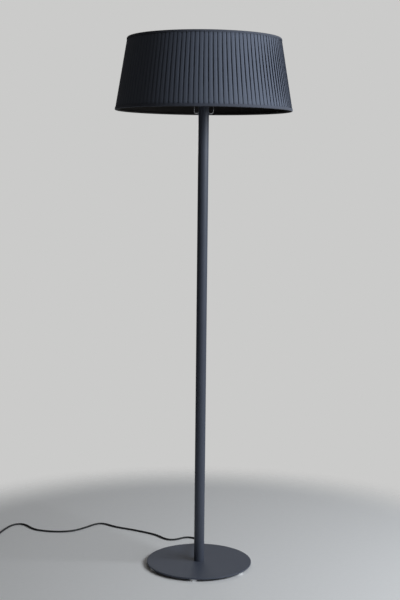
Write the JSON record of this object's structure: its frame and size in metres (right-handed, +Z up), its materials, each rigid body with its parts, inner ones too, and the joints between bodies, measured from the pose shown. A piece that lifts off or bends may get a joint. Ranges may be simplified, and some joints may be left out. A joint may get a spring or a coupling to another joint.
{
  "type": "electric patio heater",
  "caption": "Free-standing electric heater shaped like a floor lamp: round base, slim pole and a pleated drum shade hiding heating tubes behind a wire guard.",
  "frame": {"origin": "on the floor under the middle of the base", "axes": "+Z up along the pole, -Y towards the viewer of the picture, +X to the viewer's right"},
  "size_m": [1.185, 0.7553, 1.837],
  "materials": {
    "pole_paint": "matte anthracite powder coat",
    "hood_paint": "matte black heat-proof paint",
    "clear_pad": "clear soft pad",
    "steel": "zinc plated",
    "mirror_alu": "polished",
    "guard_chrome": "bright wire",
    "quartz": "milky quartz",
    "carbon": "carbon fibre strip",
    "ceramic_white": "unglazed",
    "lead_sleeve": "glass-fibre sleeve",
    "black_rubber": "matte",
    "tie_plastic": "matte",
    "pin_metal": "nickel plated",
    "switch_metal": "dark",
    "pleated_cloth": "anthracite pleated cloth",
    "dark_liner": "dark lining",
    "binding_cloth": "anthracite binding"
  },
  "bodies": {
    "stand": {"base_bolt": "steel", "base_plate": "pole_paint", "carbon_strips": "carbon", "carrier_arms": "hood_paint", "carrier_hub": "hood_paint", "carrier_stud": "steel", "cord_coil": "black_rubber", "cord_lead": "black_rubber", "cord_strain_relief": "black_rubber", "cord_tail": "black_rubber", "cord_tie": "tie_plastic", "cover_screws": "steel", "flange_set_screws": "steel", "foot_1": "clear_pad", "foot_2": "clear_pad", "foot_3": "clear_pad", "foot_4": "clear_pad", "foot_5": "clear_pad", "foot_6": "clear_pad", "foot_screws": "steel", "guard_basket": "guard_chrome", "guard_clips": "steel", "guard_collar": "pole_paint", "head_flange": "steel", "heater_leads": "lead_sleeve", "hood": "hood_paint", "hood_screws": "steel", "inner_cable_lower": "black_rubber", "inner_cable_upper": "black_rubber", "junction_cover": "tie_plastic", "junction_seal": "black_rubber", "micro_switch": "tie_plastic", "plug_body": "black_rubber", "plug_earth_clips": "pin_metal", "plug_pins": "pin_metal", "pole_coupler": "steel", "pole_foot_plug": "steel", "pole_lower": "pole_paint", "pole_upper": "pole_paint", "quartz_tube_1": "quartz", "quartz_tube_2": "quartz", "quartz_tube_3": "quartz", "reflector": "mirror_alu", "reflector_screws": "steel", "shade_bottom_binding": "binding_cloth", "shade_bottom_ring": "hood_paint", "shade_cloth": "pleated_cloth", "shade_liner": "dark_liner", "shade_top_binding": "binding_cloth", "shade_top_ring": "hood_paint", "switch_body": "switch_metal", "terminal_block": "ceramic_white", "tip_bracket": "steel", "tip_pin": "steel", "tube_brackets": "steel", "tube_caps": "ceramic_white", "wire_guard": "guard_chrome"},
    "button": {"power_button": "switch_metal"},
    "pendulum": {"tip_pendulum": "steel"},
    "finial": {"finial_nut": "tie_plastic"}
  },
  "joints": [
    {"name": "button_press", "type": "slide", "parent": "stand", "child": "button", "axis": [0, -1, 0], "range_m": [0, 0.002], "stiffness_N_per_m": 400},
    {"name": "tip_swing", "type": "hinge", "parent": "stand", "child": "pendulum", "pos_m": [0.03, 0, 1.7415], "axis": [0, 1, 0], "range_deg": [-30, 30]},
    {"name": "finial_turn", "type": "hinge", "parent": "stand", "child": "finial", "pos_m": [0, 0, 1.7735], "axis": [0, 0, 1], "continuous": true}
  ]
}
